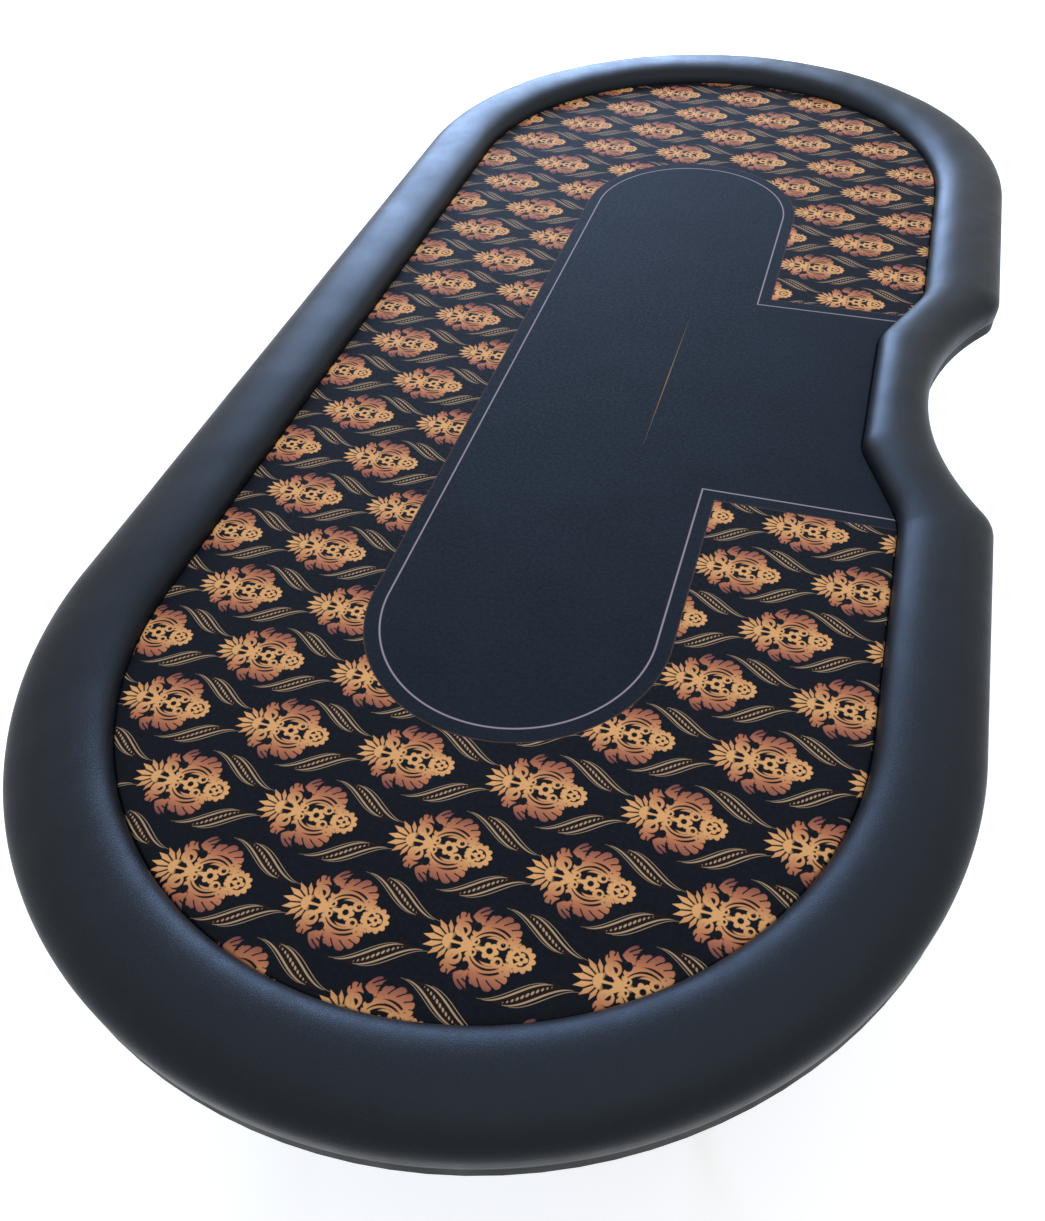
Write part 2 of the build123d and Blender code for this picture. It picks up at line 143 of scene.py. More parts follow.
class ClothSettings(bpy.types.PropertyGroup):
    thickness: length_property("Cloth thickness", "Thickness of the woven polyester", 0.001)
    turn_under: length_property("Turn-under", "Cloth folded under the playing board", 0.030)
    edge_radius: length_property("Edge radius", "Rounding of the padded edge", 0.003)
    gap: length_property("Gap to the rail", "Room between the wrapped board and the rail", 0.0008)
    repeat: length_property("Motif repeat", "From one motif to the next along a row", 0.1505)
    row: length_property("Row spacing", "From one row of motifs to the next", 0.09685)
    race_width: length_property("Inner line half-width", "Half the inner line's width", 0.1722)
    race_length: length_property("Inner line half-length", "Half the inner line's length", 0.7140)
    tongue: length_property("Tongue half-width", "Half the width of the dealer's tongue", 0.2438)
    border: length_property("Border", "From the inner line to where the print begins", 0.0196)
    ground: colour_property("Ground", "Near-black ground of the print", "#070A12")
    gold: colour_property("Gold", "Ink along a motif's axis", "#E6AC70")
    copper: colour_property("Copper", "Ink half-way out from the axis", "#BC7654")
    mauve: colour_property("Mauve", "Ink at the leaf tips", "#6A3D44")
    cream: colour_property("Cream", "Ink of the curved strokes", "#B79C7B")
    silver: colour_property("Silver", "Ink of the inner line", "#9D9098")


class SteelSettings(bpy.types.PropertyGroup):
    powder_coat: colour_property("Powder coat", "Colour of the leg frames", "#17181B")
    zinc: colour_property("Zinc plate", "Colour of the bolts, screws and pins", "#C3C6CA")
    edge_wear: length_property("Edge wear", "Width of the rubbed edges", 0.0012)


class StageSettings(bpy.types.PropertyGroup):
    floor: colour_property("Floor", "Colour of the plain floor", "#F7F7F7")
    window_power: FloatProperty(
        name="Window", description="Power of the window light", default=340, min=0, unit="POWER"
    )
    ceiling_power: FloatProperty(
        name="Ceiling", description="Power of the ceiling light", default=32, min=0, unit="POWER"
    )
    surroundings: FloatProperty(
        name="Surroundings", description="Light from all around", default=0.55, min=0
    )
    lens: FloatProperty(
        name="Lens", description="Focal length in millimetres", default=33.05, min=1
    )


class TableSettings(bpy.types.PropertyGroup):
    rail: PointerProperty(type=RailSettings)
    cloth: PointerProperty(type=ClothSettings)
    steel: PointerProperty(type=SteelSettings)
    stage: PointerProperty(type=StageSettings)


# ---------------------------------------------------------------- outlines seen from above


def arc(centre, radius, start, end, step=0.002):
    """Points along an arc, in metres; the angles are in radians."""
    count = max(2, int(abs(end - start) * radius / step))
    angles = np.linspace(start, end, count)
    return np.c_[centre[0] + radius * np.cos(angles), centre[1] + radius * np.sin(angles)]


def even(path, count):
    """A closed path as that many evenly spaced points, from its first point on."""
    closed = np.vstack([path, path[:1]])
    runs = np.concatenate([[0], np.cumsum(np.linalg.norm(np.diff(closed, axis=0), axis=1))])
    places = np.linspace(0, runs[-1], count, endpoint=False)
    return np.c_[np.interp(places, runs, closed[:, 0]), np.interp(places, runs, closed[:, 1])]


def rounded(corners):
    """A closed outline through corners (x, y, radius), anticlockwise, each corner rounded."""
    pieces = []
    for before, (x, y, radius), after in zip(
        corners[-1:] + corners[:-1], corners, corners[1:] + corners[:1]
    ):
        corner = np.array([x, y])
        back = np.array(before[:2]) - corner
        ahead = np.array(after[:2]) - corner
        back = back / np.linalg.norm(back)
        ahead = ahead / np.linalg.norm(ahead)
        half = math.acos(float(np.clip(back @ ahead, -1, 1))) / 2
        middle = (back + ahead) / np.linalg.norm(back + ahead)
        centre = corner + middle * radius / math.sin(half)
        start, end = [
            math.atan2(*(corner + way * radius / math.tan(half) - centre)[::-1])
            for way in (back, ahead)
        ]
        turn = (end - start + math.pi) % (2 * math.pi) - math.pi
        pieces.append(arc(centre, radius, start, start + turn))
    return np.vstack(pieces)


def outer_outline(rail):
    """The outside of the rail, with the dealer's bay on the +X side."""
    half_width = RAIL_HIGH.x
    end = RAIL_HIGH.y - half_width
    bay_x = half_width - rail.bay_depth + rail.bay_radius
    shoulder_x = half_width - rail.shoulder_radius
    reach = rail.bay_radius + rail.shoulder_radius
    shoulder_y = math.sqrt(reach**2 - (bay_x - shoulder_x) ** 2)
    lean = math.atan2(shoulder_y, bay_x - shoulder_x)
    return np.vstack(
        [
            arc((shoulder_x, shoulder_y), rail.shoulder_radius, -lean, 0),
            arc((0, end), half_width, 0, math.pi), arc((0, -end), half_width, math.pi, 2 * math.pi),
            arc((shoulder_x, -shoulder_y), rail.shoulder_radius, 0, lean),
            arc((bay_x, 0), rail.bay_radius, math.pi + lean, math.pi - lean),
        ]
    )


def well_outline(rail, cloth):
    """The inside edge of the rail, round the cloth."""
    side = cloth.gap - CLOTH_LOW.x
    length = CLOTH_HIGH.y + cloth.gap
    bay_x = RAIL_HIGH.x - rail.bay_depth - rail.bay_rail_width
    flat, mouth = rail.bay_flat / 2, rail.bay_mouth / 2
    return rounded(
        [
            (side, -length, side), (side, -mouth, rail.mouth_radius),
            (bay_x, -flat, rail.knee_radius), (bay_x, flat, rail.knee_radius),
            (side, mouth, rail.mouth_radius), (side, length, side), (-side, length, side),
            (-side, -length, side),
        ]
    )


def outward(path):
    """The unit vectors that point out of a closed, anticlockwise path."""
    along = np.roll(path, -1, axis=0) - np.roll(path, 1, axis=0)
    along = along / np.linalg.norm(along, axis=1)[:, None]
    return np.c_[along[:, 1], -along[:, 0]]


def nearest(path):
    """A search tree over a path's points."""
    tree = KDTree(len(path))
    for i, (x, y) in enumerate(path):
        tree.insert((x, y, 0), i)
    tree.balance()
    return tree


def crossing(origins, directions, path):
    """How far each line from an origin runs along its direction before it first meets the path."""
    edge = np.roll(path, -1, axis=0) - path
    distances = []
    for origin, direction in zip(origins, directions):
        across = direction[0] * edge[:, 1] - direction[1] * edge[:, 0]
        across = np.where(np.abs(across) < 1e-12, 1e-12, across)
        to = path - origin
        run = (to[:, 0] * edge[:, 1] - to[:, 1] * edge[:, 0]) / across
        share = (to[:, 0] * direction[1] - to[:, 1] * direction[0]) / across
        hits = run[(share >= -1e-6) & (share <= 1 + 1e-6) & (run > 0)]
        distances.append(hits.min())
    return np.array(distances)


def rail_stations(rail, cloth, rounds=24, smoothings=6, first_guess=0.04):
    """Pairs of points across the rail, inside edge to outside edge, square to its middle line."""
    outer = even(outer_outline(rail), FINE_STEPS)
    inner = even(well_outline(rail, cloth), FINE_STEPS)
    outer_tree, inner_tree = nearest(outer), nearest(inner)
    middle = even(inner, STATIONS)
    middle = middle + outward(middle) * first_guess
    for _ in range(rounds):
        outs = np.array([outer_tree.find((x, y, 0))[0][:2] for x, y in middle])
        ins = np.array([inner_tree.find((x, y, 0))[0][:2] for x, y in middle])
        spare = np.linalg.norm(outs - middle, axis=1) - np.linalg.norm(ins - middle, axis=1)
        way = (outs - ins) / np.linalg.norm(outs - ins, axis=1)[:, None]
        middle = middle + way * spare[:, None] / 2
        middle = (np.roll(middle, 1, axis=0) + 2 * middle + np.roll(middle, -1, axis=0)) / 4
        middle = even(middle, STATIONS)
    way = outward(middle)
    for _ in range(smoothings):
        way = np.roll(way, 1, axis=0) + 2 * way + np.roll(way, -1, axis=0)
        way = way / np.linalg.norm(way, axis=1)[:, None]
    outside = middle + way * crossing(middle, way, outer)[:, None]
    inside = middle - way * crossing(middle, -way, inner)[:, None]
    return inside, outside


# ---------------------------------------------------------------- meshes


def new_piece(name, points, faces, body, material, replaced):
    """Makes a mesh piece that rides on a body and stands for CAD nodes."""
    mesh = bpy.data.meshes.new(name)
    mesh.from_pydata([tuple(map(float, p)) for p in points], [], faces)
    mesh.validate()
    mesh.polygons.foreach_set("use_smooth", [True] * len(mesh.polygons))
    mesh.materials.append(material)
    piece = bpy.data.objects.new(name, mesh)
    bpy.context.scene.collection.objects.link(piece)
    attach(piece, body)
    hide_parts(*replaced)
    return piece


def swept_ring(stations, profile):
    """The points and faces of a closed tube: at each station, one copy of a closed profile.

    A profile point is (share, shift, height, soft): share of the way across the rail, plus shift
    in metres, at that height; soft is how much of the cover's wander it takes.
    """
    inside, outside = stations
    count, around = len(inside), len(profile)
    span = outside - inside
    width = np.linalg.norm(span, axis=1)[:, None]
    way = span / width
    share, shift, height, _ = np.array(profile).T
    across = share[None, :] * width + shift[None, :]
    plan = inside[:, None, :] + way[:, None, :] * across[..., None]
    points = np.concatenate([plan, np.broadcast_to(height, (count, around))[..., None]], axis=2)
    faces = []
    for i in range(count):
        for k in range(around):
            here, there, below = i * around, (i + 1) % count * around, (k + 1) % around
            faces.append((here + k, here + below, there + below, there + k))
    return points, faces


def dome(steps, fullness):
    """(share across, share of the height) over the padding, from its inside edge to its outside."""
    angles = np.linspace(math.pi, 0, steps)
    across = np.sign(np.cos(angles)) * np.abs(np.cos(angles)) ** (2 / fullness)
    height = np.abs(np.sin(angles)) ** (2 / fullness)
    return [((1 + a) / 2, h) for a, h in zip(across, height)]


def padding_profile(rail, inset, bottom, steps=44):
    """The padding's skin from the bottom of its inside face, over the dome, to its outside face."""
    waist = CLOTH_HIGH.z - rail.widest
    rise = RAIL_HIGH.z - waist - inset
    tuck = 0.0012
    skin = [(0, inset + tuck, bottom, 0), (0, inset + tuck / 3, (bottom + waist) / 2, 0)]
    for share, height in dome(steps, rail.dome):
        skin.append((share, inset * (1 - 2 * share), waist + rise * height, height))
    skin += [(1, -inset - tuck / 3, (bottom + waist) / 2, 0), (1, -inset - tuck, bottom, 0)]
    return skin


def wander(points, profile, size):
    """Lets a stretched cover rise and fall a little along the rail, as hand-pulled padding does."""
    soft = np.array(profile)[:, 3]
    along = np.arctan2(points[:, :, 1] * 0.5, points[:, :, 0])
    waves = (
        np.sin(along * 17 + 0.6) * 0.5
        + np.sin(along * 41 + 2.1) * 0.3
        + np.sin(along * 73 + points[:, :, 0] * 9) * 0.2
    )
    points[:, :, 2] += (waves - 1) * size * soft[None, :]
    return points


def filled_slab(outline, profile):
    """Points and faces of a slab: its edge is a profile (inset, height), its faces are filled."""
    count, around = len(outline), len(profile)
    inward = -outward(outline)
    points = [
        (x + nx * inset, y + ny * inset, height)
        for (x, y), (nx, ny) in zip(outline, inward)
        for inset, height in profile
    ]
    faces = []
    for i in range(count):
        here, there = i * around, (i + 1) % count * around
        for k in range(around - 1):
            faces.append((here + k, here + k + 1, there + k + 1, there + k))
    faces.append([i * around for i in range(count)])
    faces.append([i * around + around - 1 for i in reversed(range(count))])
    return points, faces


# ---------------------------------------------------------------- materials


def add_node(tree, kind, settings=None, inputs=None):
    """Adds a node, sets it up, and gives each input a number, a colour or another node's output."""
    node = tree.nodes.new("ShaderNode" + kind)
    for key, value in (settings or {}).items():
        setattr(node, key, value)
    for key, value in (inputs or {}).items():
        socket = node.inputs[key]
        if isinstance(value, Field):
            value = value.socket
        if isinstance(value, bpy.types.Node):
            value = value.outputs[0]
        if isinstance(value, bpy.types.NodeSocket):
            tree.links.new(value, socket)
        elif socket.type == "RGBA":
            socket.default_value = (*value[:3], 1)
        else:
            socket.default_value = value
    return node


class Field:
    """A number that varies over a surface, which Python's own operators combine."""

    def __init__(self, tree, socket):
        self.tree = tree
        self.socket = socket

    def math(self, operation, *others):
        inputs = dict(enumerate((self, *others)))
        node = add_node(self.tree, "Math", {"operation": operation}, inputs)
        return Field(self.tree, node.outputs[0])

    def __add__(self, other):
        return self.math("ADD", other)

    def __sub__(self, other):
        return self.math("SUBTRACT", other)

    def __rsub__(self, other):
        return (self * -1).math("ADD", other)

    def __mul__(self, other):
        return self.math("MULTIPLY", other)

    __radd__ = __add__
    __rmul__ = __mul__


def new_material(name):
    """An empty material with its shader and output; gives the material, its tree and its shader."""
    material = bpy.data.materials.new(name)
    material.use_nodes = True
    tree = material.node_tree
    tree.nodes.clear()
    shader = add_node(tree, "BsdfPrincipled")
    add_node(tree, "OutputMaterial", None, {"Surface": shader})
    return material, tree, shader


def join(tree, shader, colour, roughness, relief):
    """Joins the colour, roughness and relief that vary over a surface to its shader."""
    tree.links.new(colour, shader.inputs["Base Color"])
    tree.links.new(roughness.outputs[0], shader.inputs["Roughness"])
    tree.links.new(relief.outputs[0], shader.inputs["Normal"])


def place(tree):
    """The place on the piece, in millimetres."""
    point = add_node(tree, "TexCoord").outputs["Object"]
    return add_node(tree, "VectorMath", {"operation": "SCALE"}, {0: point, "Scale": 1000})


def away(u, v, x, y):
    """The distance from a point of the drawing."""
    return ((u - x) * (u - x) + (v - y) * (v - y)).math("SQRT")


def union(first, *others):
    """Everything that lies in any of the shapes; inside a shape its value is below nought."""
    for other in others:
        first = first.math("MINIMUM", other)
    return first


def overlap(first, *others):
    """Only what lies in all of the shapes."""
    for other in others:
        first = first.math("MAXIMUM", other)
    return first


def palmette(u, v, x, reach, feathers, spread):
    """A fan of pointed feathers that opens towards -u from x, the middle one the longest."""
    radius = away(u, v, x, 0)
    angle = v.math("ARCTAN2", x - u)
    turn = angle * (1 + radius * 0.006) * feathers
    point = 1 - turn.math("SINE").math("ABSOLUTE")
    outline = radius - reach * (1 - angle * angle * 0.13) * (0.68 + point * 0.32)
    parting = turn.math("COSINE").math("ABSOLUTE") * radius * (1 / feathers)
    slit = union(0.62 - parting, radius - reach * 0.3)
    return overlap(outline, angle - spread, slit)


def leaf(u, v, x, y, inner, outer, turn, half_turn, teeth, hook=0.05):
    """An acanthus leaf: part of a ring round (x, y), widest at the angle turn, with teeth."""
    radius = away(u, v, x, y)
    angle = ((v - y).math("ARCTAN2", u - x) - turn) * (1 / half_turn)
    swell = 1 - angle * angle
    saw = ((angle + (radius - inner) * hook) * teeth).math("FRACT")
    lobe = (saw * (1 - saw) * 4).math("SQRT") * 0.55 + saw * 0.45
    edge = inner + (outer - inner) * swell * (0.66 + lobe * 0.34)
    gap = saw.math("MINIMUM", 1 - saw) * radius * (half_turn / teeth)
    vein = union(0.6 - gap, radius - inner * 0.58 - outer * 0.42)
    return overlap(radius - edge, inner - radius, angle.math("ABSOLUTE") - 1, vein)


def scroll(u, v, x, y, outer, hole):
    """A round scroll with an eye a little off its centre."""
    return overlap(away(u, v, x, y) - outer, hole - away(u, v, x + hole * 0.35, y - hole * 0.3))


def sickle(u, v, x, y, radius, thick, turn, half_turn):
    """A curved stroke, part of a circle round (x, y), that thins to a point at both ends."""
    angle = ((v - y).math("ARCTAN2", u - x) - turn) * (1 / half_turn)
    width = (1 - angle * angle) * thick
    return overlap((away(u, v, x, y) - radius).math("ABSOLUTE") - width, angle.math("ABSOLUTE") - 1)


def blossom(u, v, x, radius, depth, petals, eye):
    """A round flower on the axis with an open eye."""
    wave = (v.math("ARCTAN2", u - x) * petals).math("COSINE").math("ABSOLUTE")
    middle = away(u, v, x, 0)
    return overlap(middle - radius - wave * depth, eye - middle)


def damask(u, v):
    """One motif of the print in hundredths of its repeat, below nought where ink lies.

    v is measured from the motif's axis, so both halves are alike.
    """
    fan = palmette(u, v, -19.0, 18.8, 7.0, 1.75)
    stem = overlap(v - 0.8 - (u + 14) * (u + 14) * 0.022, (u + 14).math("ABSOLUTE") - 6)
    scrolls = scroll(u, v, -14.0, 9.8, 5.4, 2.4)
    curl = scroll(u, v, -3.4, 4.0, 2.8, 1.2)
    knot = away(u, v, -8.4, 0.0) - 3.6
    arm = sickle(u, v, -3.5, 13.4, 11.8, 1.7, -2.2, 0.95)
    plume = leaf(u, v, -11.5, 11.5, 6.2, 22.5, 0.93, 0.60, 2.6)
    plume_root = leaf(u, v, -12.0, 11.0, 5.2, 12.5, 2.1, 0.95, 2.0)
    almond = away(u * 1.25, v, -6.3, 13.8) - 3.4
    ring = away(u * 0.90, v, 6.6, 0.0)
    mantle = leaf(u, v, 7.2, 0.0, 13.6, 28.0, 1.28, 1.0, 3.3, 0.035)
    mantle_root = leaf(u, v, 7.2, 0.0, 13.4, 18.5, 2.35, 0.62, 1.6)
    frame = overlap(ring - 11.9, 10.5 - ring, u - 14)
    rosette = blossom(u, v, 7.2, 4.4, 1.7, 3, 2.2)
    rosette_tip = overlap(v - 1.5 + (u - 1.5) * -0.12, (u - 0.5).math("ABSOLUTE") - 3.0)
    inner_scroll = scroll(u, v, 14.0, 6.4, 3.9, 1.7)
    inner_tail = sickle(u, v, 8.0, 0.5, 8.9, 0.9, 1.45, 0.7)
    shoulder = leaf(u, v, 19.0, 5.5, 2.4, 9.4, 1.1, 1.3, 2.2)
    link = sickle(u, v, 21.2, 0.0, 6.4, 1.1, 1.2, 1.05)
    crown = blossom(u, v, 28.2, 7.8, 2.0, 5.5, 5.3)
    heart = blossom(u, v, 28.6, 2.5, 1.9, 2, 1.2)
    bridge = overlap(v - 0.9, (u - 21.8).math("ABSOLUTE") - 3.2)
    notch = sickle(u, v, 15.5, 17.0, 16.8, 1.5, 2.45, 0.66)
    fold = sickle(u, v, -4.0, 25.5, 9.4, 1.1, -2.3, 0.8)
    lining = sickle(u, v, 6.8, -1.5, 17.6, 0.9, 1.15, 0.62)
    cuts = union(almond, notch, fold, lining)
    leaves = overlap(union(plume, plume_root, mantle, mantle_root), cuts * -1)
    return union(
        leaves, fan, stem, scrolls, curl, knot, arm, frame, rosette, rosette_tip, inner_scroll,
        inner_tail, shoulder, link, crown, heart, bridge,
    )


def faux_leather(rail):
    """PVC-coated knit, embossed with a fine grain and stretched by hand."""
    # The coating has a soft, matt sheen that takes the colour of the window, and the grain
    # breaks it up. The real grain is about 1 mm; it is drawn at 2 mm so that it shows.
    material, tree, shader = new_material("faux_leather_matt_black")
    point = place(tree)
    warped = add_node(tree, "TexNoise", None, {"Vector": point, "Scale": 0.3, "Detail": 2})
    bent = add_node(
        tree, "VectorMath", {"operation": "MULTIPLY_ADD"},
        {0: warped.outputs["Color"], 1: (1.6, 1.6, 1.6), 2: point},
    )
    grain = add_node(
        tree, "TexVoronoi", {"feature": "DISTANCE_TO_EDGE"},
        {"Vector": bent, "Scale": 1 / 2.0, "Randomness": 1},
    )
    pebble = add_node(
        tree, "MapRange", {"interpolation_type": "SMOOTHSTEP"},
        {0: grain, 1: 0.0, 2: 0.32, 3: 0.0, 4: 1.0},
    )
    pull = add_node(tree, "TexNoise", None, {"Vector": point, "Scale": 1 / 130, "Detail": 2})
    handled = add_node(tree, "TexNoise", None, {"Vector": point, "Scale": 1 / 21, "Detail": 5})
    shade = Field(tree, pull.outputs[0]) * 0.5 + Field(tree, handled.outputs[0]) * 0.5
    tone = add_node(tree, "MapRange", None, {0: shade, 1: 0.35, 2: 0.65, 3: 0.0, 4: 1.0})
    dark = [c * 0.82 for c in rail.colour]
    light = [c * 1.16 for c in rail.colour]
    cast = add_node(tree, "Mix", COLOURS, {0: tone, 6: dark, 7: light})
    # Painted shade: the creases between the grain's pebbles are darkened to 0.6 of the colour, as
    # if shade fell in them.
    crease_shade = add_node(
        tree, "Mix", COLOURS, {0: pebble, 6: [c * 0.6 for c in rail.colour], 7: cast.outputs[2]},
    )
    sheen = add_node(tree, "MapRange", None, {0: shade, 1: 0.3, 2: 0.7, 3: 0.37, 4: 0.50})
    relief = Field(tree, pebble.outputs[0]) * 0.8 + Field(tree, handled.outputs[0]) * 0.4
    raised = add_node(tree, "Bump", None, {"Strength": 0.35, "Distance": 0.0003, "Height": relief})
    join(tree, shader, crease_shade.outputs[2], sheen, raised)
    shader.inputs["IOR"].default_value = 1.5
    shader.inputs["Specular IOR Level"].default_value = 0.26
    shader.inputs["Specular Tint"].default_value = (*linear("#CFE2F7"), 1)
    return material


def printed_polyester(cloth):
    """Woven polyester with a dye-sublimated print: a damask ground and a plain middle."""
    # The dye sinks into the threads, so the print is as matt as the cloth, and only the weave
    # catches the light. The threads are 0.5 mm apart, and are drawn coarser so that they show.
    material, tree, shader = new_material("printed_polyester_damask")
    point = place(tree)
    axes = add_node(tree, "SeparateXYZ", None, {0: point})
    x, y = Field(tree, axes.outputs[0]), Field(tree, axes.outputs[1])
    repeat, row = cloth.repeat / MM, cloth.row / MM
    rows_up = (y - PRINT_START[1]) * (1 / row)
    in_row = rows_up.math("ROUND")
    v = (rows_up - in_row).math("ABSOLUTE") * (row / repeat * 100)
    along = (x - PRINT_START[0]) * (1 / repeat) - in_row * 0.5
    u = (along - along.math("ROUND")) * 100
    u_on = along.math("FRACT") * 100
    motif = add_node(tree, "MapRange", None, {0: damask(u, v), 1: -0.3, 2: 0.3, 3: 1.0, 4: 0.0})
    strokes, glow = strokes_and_beads(u_on, v)
    stroke = add_node(tree, "MapRange", None, {0: strokes, 1: -0.25, 2: 0.25, 3: 1.0, 4: 0.0})
    cloud = add_node(tree, "MapRange", None, {0: glow, 1: -2.0, 2: 0.5, 3: 0.75, 4: 0.0})

    lateral = add_node(tree, "MapRange", None, {0: v, 1: 4.0, 2: 17.0, 3: 0.0, 4: 1.0})
    tips = add_node(tree, "MapRange", None, {0: v, 1: 17.0, 2: 30.0, 3: 0.0, 4: 1.0})
    warm = add_node(tree, "Mix", COLOURS, {0: lateral, 6: cloth.gold, 7: cloth.copper})
    ink = add_node(tree, "Mix", COLOURS, {0: tips, 6: warm.outputs[2], 7: cloth.mauve})
    clouds = add_node(tree, "TexNoise", None, {"Vector": point, "Scale": 1 / 90, "Detail": 4})
    ground = add_node(
        tree, "Mix", COLOURS,
        {0: clouds, 6: [c * 0.75 for c in cloth.ground], 7: [c * 1.35 for c in cloth.ground]},
    )
    shadowed = add_node(
        tree, "Mix", COLOURS, {0: cloud, 6: ground.outputs[2], 7: linear("#21120E")},
    )
    streaked = add_node(tree, "Mix", COLOURS, {0: stroke, 6: shadowed.outputs[2], 7: cloth.cream})
    figured = add_node(tree, "Mix", COLOURS, {0: motif, 6: streaked.outputs[2], 7: ink.outputs[2]})

    across, down = x - MIDDLE[0], y - MIDDLE[1]
    inner = middle_shape(across, down, cloth)
    plain = add_node(
        tree, "MapRange", None, {0: inner, 1: cloth.border / MM - 0.5, 2: cloth.border / MM + 0.5}
    )
    middle_tone = add_node(
        tree, "Mix", COLOURS, {0: clouds, 6: linear("#10161F"), 7: linear("#18212C")},
    )
    laid_out = add_node(
        tree, "Mix", COLOURS, {0: plain, 6: middle_tone.outputs[2], 7: figured.outputs[2]},
    )
    trims = (
        (inner.math("ABSOLUTE") - 1.1, cloth.silver),
        ((inner - cloth.border / MM).math("ABSOLUTE") - 0.7, linear("#4B3733")),
        (middle_line(across, down), linear("#8A6A48")),
    )
    colour = laid_out.outputs[2]
    for edge, tint in trims:
        line = add_node(tree, "MapRange", None, {0: edge, 1: -0.4, 2: 0.4, 3: 1.0, 4: 0.0})
        colour = add_node(tree, "Mix", COLOURS, {0: line, 6: colour, 7: tint}).outputs[2]

    warp = (x * (math.pi / THREAD)).math("SINE")
    weft = (y * (math.pi / THREAD)).math("SINE")
    weave = (warp * weft).math("ABSOLUTE")
    slubs = add_node(tree, "TexNoise", None, {"Vector": point, "Scale": 1 / 5, "Detail": 4})
    threads = weave * 0.7 + Field(tree, slubs.outputs[0]) * 0.5
    raised = add_node(tree, "Bump", None, {"Strength": 0.4, "Distance": 0.0003, "Height": threads})
    dull = add_node(tree, "MapRange", None, {0: slubs, 1: 0.3, 2: 0.7, 3: 0.68, 4: 0.82})
    join(tree, shader, colour, dull, raised)
    shader.inputs["Specular IOR Level"].default_value = 0.1
    return material


def strokes_and_beads(u, v):
    """The pairs of curved strokes beside each motif, with a row of beads between them.

    Gives the ink's shape and the brown cloud's round it, both below nought inside.
    """
    middle, level, half, sweep, pitch = 39, 21.5, 21, 10.5, 2.7

    def bent_line(shift):
        along = ((u - middle - shift) * (1 / half)).math("MAXIMUM", -1.0).math("MINIMUM", 1.0)
        return along, v - level + (along * (math.pi / 2)).math("SINE") * sweep

    shapes = []
    for shift, thick in ((-6.6, 0.8), (6.6, 0.8), (-10.0, 0.24), (10.8, 0.28)):
        along, line = bent_line(shift)
        taper = (1 - along * along) * thick
        ends = (u - middle - shift).math("ABSOLUTE") - 20
        shapes.append(overlap(line.math("ABSOLUTE") - taper, ends))
    along, line = bent_line(0)
    beat = (u - middle) * (1 / pitch)
    bead_u = (beat - beat.math("ROUND")) * pitch
    size = 0.95 - along * along * 1.5
    bead = (bead_u * bead_u + line * line * 0.6).math("SQRT") - size
    beads = overlap(bead, (u - middle).math("ABSOLUTE") - 13.5)
    cloud = line.math("ABSOLUTE") - (1 - along * along) * 6.5
    return union(beads, *shapes), cloud


def middle_shape(x, y, cloth):
    """The plain middle: a long round-ended panel with a tongue to the dealer's side, in mm."""
    half_width, half_length = cloth.race_width / MM, cloth.race_length / MM
    beyond = (y.math("ABSOLUTE") - (half_length - half_width)).math("MAXIMUM", 0.0)
    panel = (x * x + beyond * beyond).math("SQRT") - half_width
    tongue = overlap(y.math("ABSOLUTE") - cloth.tongue / MM, x * -1)
    return union(panel, tongue)


def middle_line(x, y):
    """One thin line down the dealer's half of the middle, thinner towards its ends, in mm."""
    off_middle, half_width, half_length = 72, 0.9, 169
    from_middle = y.math("ABSOLUTE")
    fade = from_middle * (half_width / (half_length + 1))
    side = (x - off_middle).math("ABSOLUTE") - half_width + fade
    return overlap(side, from_middle - half_length)


def painted_plywood():
    """Birch plywood, sanded and rolled with matt black paint."""
    # The roller leaves an orange-peel stipple, and the edges of the plies show through as
    # faint lines. Plies are 1.4 mm.
    material, tree, shader = new_material("plywood_painted_matt_black")
    point = place(tree)
    axes = add_node(tree, "SeparateXYZ", None, {0: point})
    plies = (Field(tree, axes.outputs[2]) * (math.pi / PLY)).math("SINE")
    stipple = add_node(tree, "TexNoise", None, {"Vector": point, "Scale": 1 / 2.2, "Detail": 3})
    worn = add_node(tree, "TexNoise", None, {"Vector": point, "Scale": 1 / 60, "Detail": 6})
    tone = add_node(tree, "Mix", COLOURS, {0: worn, 6: linear("#0E0F11"), 7: linear("#191A1C")})
    dull = add_node(tree, "MapRange", None, {0: worn, 1: 0.3, 2: 0.7, 3: 0.5, 4: 0.68})
    relief = Field(tree, stipple.outputs[0]) + plies * 0.12
    raised = add_node(tree, "Bump", None, {"Strength": 0.5, "Distance": 0.0003, "Height": relief})
    join(tree, shader, tone.outputs[2], dull, raised)
    shader.inputs["Specular IOR Level"].default_value = 0.2
    return material


